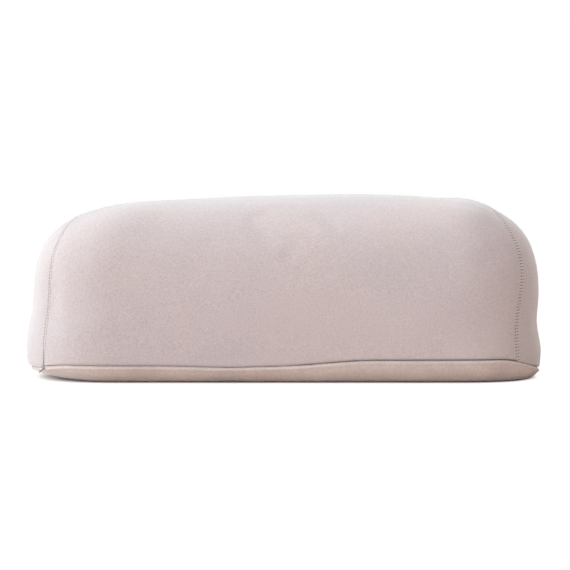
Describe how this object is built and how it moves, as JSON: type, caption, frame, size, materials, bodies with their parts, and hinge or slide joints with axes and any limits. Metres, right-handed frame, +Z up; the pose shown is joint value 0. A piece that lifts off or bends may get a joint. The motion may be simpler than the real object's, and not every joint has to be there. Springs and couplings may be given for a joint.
{
  "type": "lumbar support cushion",
  "caption": "Loaf-shaped lumbar support cushion with a foam core in a zipped knit cover, D-shaped end panels and a flat back",
  "frame": {"origin": "middle of the flat underside, the face that lies against a chair's backrest", "axes": "+Z up out of the underside, +X along the width towards the right end, +Y towards the rear long side with the zip"},
  "size_m": [0.3778, 0.3048, 0.131],
  "materials": {
    "cover_knit": "matte",
    "sewing_thread": "matte",
    "zip_tape": "matte",
    "zip_coil": "satin",
    "zip_metal": "satin",
    "foam": "matte",
    "liner_knit": "matte",
    "label_satin": "satin"
  },
  "bodies": {
    "cushion": {"foam_core": "foam", "foam_liner": "liner_knit", "liner_closing_stitch": "sewing_thread", "cover_crown_panel": "cover_knit", "cover_end_panel_left": "cover_knit", "cover_end_panel_right": "cover_knit", "cover_base_panel": "cover_knit", "base_seam_thread": "sewing_thread", "end_seam_thread_left_inner": "sewing_thread", "end_seam_thread_left_outer": "sewing_thread", "end_seam_thread_right_inner": "sewing_thread", "end_seam_thread_right_outer": "sewing_thread", "zip_tape_upper": "zip_tape", "zip_tape_lower": "zip_tape", "zip_coil_upper": "zip_coil", "zip_coil_lower": "zip_coil", "zip_topstitch_upper": "sewing_thread", "zip_topstitch_lower": "sewing_thread", "zip_top_stop_upper": "zip_metal", "zip_top_stop_lower": "zip_metal", "zip_bottom_stop": "zip_metal", "care_label": "label_satin"},
    "slider": {"zip_slider": "zip_metal"},
    "pull_tab": {"zip_pull_tab": "zip_metal"}
  },
  "joints": [
    {"name": "zip_slide", "type": "slide", "parent": "cushion", "child": "slider", "axis": [1, 0, 0], "range_m": [0, 0.2505], "deforming": ["zip_coil_upper", "zip_coil_lower"]},
    {"name": "pull_tab_swing", "type": "hinge", "parent": "slider", "child": "pull_tab", "pos_m": [-0.125, 0.15105, 0.016], "axis": [0, 0, 1], "range_deg": [0, 170]}
  ]
}
